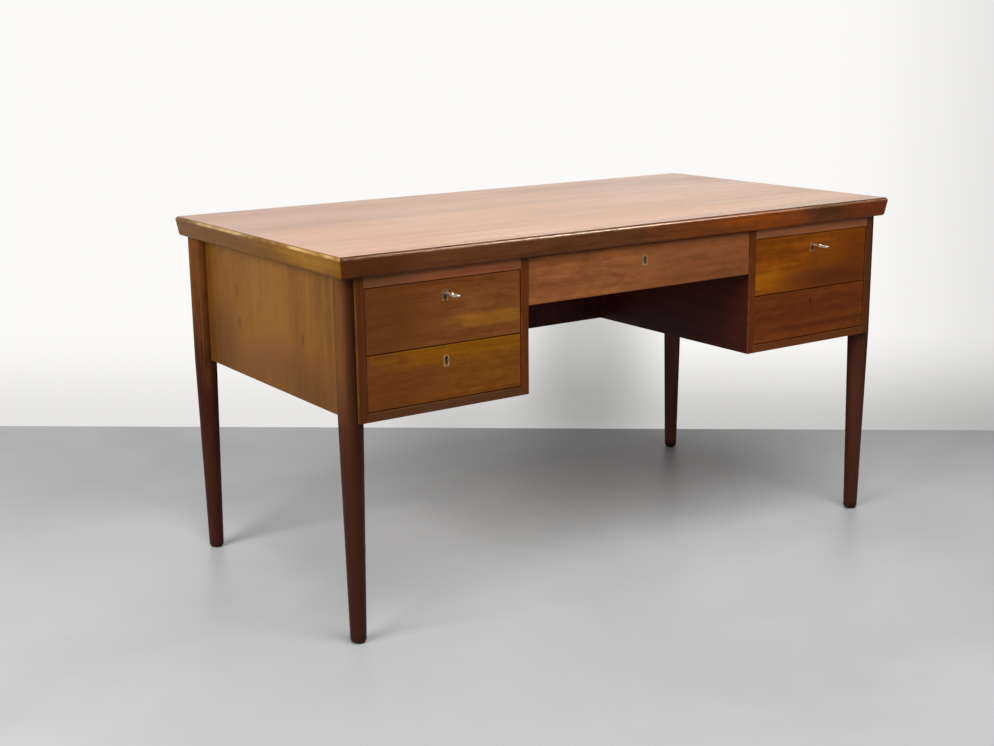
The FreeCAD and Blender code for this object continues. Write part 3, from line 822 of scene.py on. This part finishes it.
# stage: pale painted floor, and a white wall for the camera and reflections, clear from behind
stageWork = {"floorSize": 14.0, "wallWidth": 16.0, "wallHeight": 1.45, "wallPlace": (0.389, 0.753),
             "wallTurn": -37.7, "white": (0.965, 0.955, 0.935), "offWall": "leg_", "grain": "X",
             "shift": (0.0, 0.0, 0.0), "cloud": (1.6, 1.6, 5.0, 0.5), "cloudGloss": (0.3, 0.7, 0.46, 0.38),
             "tones": ((0.3, (0.46, 0.465, 0.47)), (0.7, (0.53, 0.535, 0.54))),
             "palePlace": (-0.43, 0.42, 0.0), "paleReach": (0.68, 0.68, 1.0), "paleLevel": 1.55}
# the wall's painted shade: darker at the foot, less so on the left, darker to the right, and a painted
# shadow behind the desk. Each: from, to, level at the first, level at the second
shadeWork = {"foot": (0.0, 0.30), "footLevels": (-0.65, -0.30, 0.82, 0.60), "right": (0.70, 1.35, 1.0, 0.80),
             "desk": (0.15, 1.0, 0.56, 1.0), "deskPlace": (0.10, 0.20, 0.0), "deskReach": (0.29, 0.40, 1.0)}


def floorMaterial():
    material, tree, shader, coords = newMaterial("paleFloor")
    cloud = grainNoise(tree, coords, stageWork, *stageWork["cloud"])
    colour = ramp(tree, cloud, stageWork["tones"])
    # a painted pool of light on the floor behind the left pedestal
    far = farFrom(tree, coords, stageWork["palePlace"], stageWork["paleReach"])
    pale = spread(tree, far, 0.0, 1.0, stageWork["paleLevel"], 1.0)
    colour = addNode(tree, "ShaderNodeVectorMath", {0: colour, "Scale": pale}, operation="SCALE").outputs[0]
    tree.links.new(colour, shader.inputs["Base Color"])
    tree.links.new(spread(tree, cloud, *stageWork["cloudGloss"]), shader.inputs["Roughness"])
    # clear from below
    behind = addNode(tree, "ShaderNodeNewGeometry").outputs["Backfacing"]
    clear = addNode(tree, "ShaderNodeBsdfTransparent").outputs[0]
    seen = addNode(tree, "ShaderNodeMixShader", {0: behind, 1: shader.outputs[0], 2: clear}).outputs[0]
    tree.links.new(seen, tree.nodes["Material Output"].inputs["Surface"])
    return material


def wallWay():
    turn = math.radians(stageWork["wallTurn"])
    return Vector((math.cos(turn), math.sin(turn), 0))


def wallMaterial():
    material, tree, shader, coords = newMaterial("whiteWall")
    tree.nodes.remove(shader)
    path = addNode(tree, "ShaderNodeLightPath").outputs
    seen = sumNode(tree, "ADD", path["Is Camera Ray"], path["Is Glossy Ray"])
    seen = sumNode(tree, "ADD", seen, path["Is Transmission Ray"], clamp=True)
    behind = addNode(tree, "ShaderNodeNewGeometry").outputs["Backfacing"]
    shown = sumNode(tree, "MULTIPLY", seen, sumNode(tree, "SUBTRACT", 1.0, behind))
    clear = addNode(tree, "ShaderNodeBsdfTransparent").outputs[0]
    height = addNode(tree, "ShaderNodeSeparateXYZ", {0: coords}).outputs["Z"]
    aside = addNode(tree, "ShaderNodeVectorMath", {0: coords, 1: wallWay()}, operation="DOT_PRODUCT")
    aside = aside.outputs["Value"]
    footLevel = spread(tree, aside, *shadeWork["footLevels"])
    footShade = spread(tree, height, *shadeWork["foot"], footLevel)
    shade = sumNode(tree, "MULTIPLY", footShade, spread(tree, aside, *shadeWork["right"]))
    onWall = addNode(tree, "ShaderNodeCombineXYZ", {"X": aside, "Y": height}).outputs[0]
    far = farFrom(tree, onWall, shadeWork["deskPlace"], shadeWork["deskReach"])
    shade = sumNode(tree, "MULTIPLY", shade, spread(tree, far, *shadeWork["desk"]))
    feeds = {"Color": (*stageWork["white"], 1.0), "Strength": shade}
    white = addNode(tree, "ShaderNodeEmission", feeds).outputs[0]
    wall = addNode(tree, "ShaderNodeMixShader", {0: shown, 1: clear, 2: white}).outputs[0]
    tree.links.new(wall, tree.nodes["Material Output"].inputs["Surface"])
    return material


def flatStage(name, corners, material):
    mesh = bpy.data.meshes.new(name)
    mesh.from_pydata(corners, [], [tuple(range(len(corners)))])
    mesh.materials.append(material)
    sheet = bpy.data.objects.new(name, mesh)
    scene.collection.objects.link(sheet)
    return sheet


def lightOnly(source, pieces):
    receivers = bpy.data.collections.new(source.name + "Pieces")
    for piece in pieces:
        receivers.objects.link(piece)
    source.light_linking.receiver_collection = receivers


half = stageWork["floorSize"] / 2
flatStage("floor", [(-half, -half, 0), (half, -half, 0), (half, half, 0), (-half, half, 0)], floorMaterial())
along = wallWay() * stageWork["wallWidth"] / 2
foot = Vector((*stageWork["wallPlace"], 0))
rise = Vector((0, 0, stageWork["wallHeight"]))
corners = [foot - along, foot + along, foot + along + rise, foot - along + rise]
wall = flatStage("wall", corners, wallMaterial())
# the legs don't mirror the wall
shown = [p for p in scene.objects if p.type == "MESH"]
lightOnly(wall, [p for p in shown if not p.name.startswith(stageWork["offWall"])])


# light: an even room, soft lamps on the left, overhead and behind, and a glint for polished edges
lightWork = {"room": 0.16, "sky": (0.15, 0.6, 0.05, 0.25), "aim": (0.0, 0.0, 0.5),
             "softSize": (2.4, 2.4), "lamps": {
    "keyLamp": {"place": (-4.2, -0.9, 2.3), "power": 155.0},
    "topLamp": {"place": (-0.4, -1.9, 3.2), "power": 106.0},
    "glintLamp": {"place": (1.79, -2.19, 2.50), "size": (1.0, 2.2), "power": 200.0,
                  "colour": (1.0, 0.83, 0.70),
                  "onlyOn": ("top_lip_front_wood", "left_upper_key_metal", "right_upper_key_metal")},
    "backLamp": {"place": (2.8, 3.4, 2.6), "power": 60.0, "offFloor": True}}}


def roomLight():
    world = bpy.data.worlds.new("studio")
    world.use_nodes = True
    scene.world = world
    tree = world.node_tree
    tree.nodes.clear()
    path = addNode(tree, "ShaderNodeLightPath").outputs
    gloss = sumNode(tree, "ADD", path["Is Glossy Ray"], path["Is Transmission Ray"], clamp=True)
    toward = addNode(tree, "ShaderNodeTexCoord").outputs["Generated"]
    rise = addNode(tree, "ShaderNodeSeparateXYZ", {0: toward}).outputs["Z"]
    sky = spread(tree, rise, *lightWork["sky"])
    level = mixColour(tree, gloss, (lightWork["room"],) * 3, sky)
    level = mixColour(tree, path["Is Camera Ray"], level, stageWork["white"])
    shade = addNode(tree, "ShaderNodeBackground", {"Color": level, "Strength": 1.0}).outputs[0]
    tree.links.new(shade, addNode(tree, "ShaderNodeOutputWorld").inputs["Surface"])


def softLamp(name, place, power, size=lightWork["softSize"], colour=(1.0, 1.0, 1.0), onlyOn=(),
             offFloor=False):
    data = bpy.data.lights.new(name, "AREA")
    data.shape = "RECTANGLE"
    data.size, data.size_y = size
    data.energy = power
    data.color = colour
    lamp = bpy.data.objects.new(name, data)
    lamp.location = place
    lamp.rotation_mode = "QUATERNION"
    lamp.rotation_quaternion = (Vector(lightWork["aim"]) - Vector(place)).to_track_quat("-Z", "Y")
    lamp.visible_glossy = bool(onlyOn)
    lamp.visible_diffuse = not onlyOn
    scene.collection.objects.link(lamp)
    if onlyOn or offFloor:
        lit = [p for p in scene.objects if p.type == "MESH" and p.name not in ("floor", "wall")]
        lightOnly(lamp, [p for p in lit if offFloor or p.name in onlyOn])


roomLight()
for lampName, lamp in lightWork["lamps"].items():
    softLamp(lampName, **lamp)


# camera at the photograph's angle
cameraWork = {"place": (-1.8937, -2.5972, 1.1295), "yaw": 0.59829, "pitch": 0.23434, "roll": -0.01168,
              "focalPixels": 1473.86, "imageWidth": 994, "sensor": 36.0}


def placeCamera():
    yaw, pitch, roll = (cameraWork[k] for k in ("yaw", "pitch", "roll"))
    forward = Vector((math.sin(yaw) * math.cos(pitch), math.cos(yaw) * math.cos(pitch), -math.sin(pitch)))
    level = Vector((math.cos(yaw), -math.sin(yaw), 0))
    upright = level.cross(forward)
    right = math.cos(roll) * level + math.sin(roll) * upright
    up = -math.sin(roll) * level + math.cos(roll) * upright
    data = bpy.data.cameras.new("deskCamera")
    data.sensor_width = cameraWork["sensor"]
    data.lens = cameraWork["sensor"] * cameraWork["focalPixels"] / cameraWork["imageWidth"]
    camera = bpy.data.objects.new("deskCamera", data)
    turned = Matrix((right, up, -forward)).transposed().to_4x4()
    camera.matrix_world = Matrix.Translation(cameraWork["place"]) @ turned
    scene.collection.objects.link(camera)
    scene.camera = camera


placeCamera()
print("stage, light and camera placed")
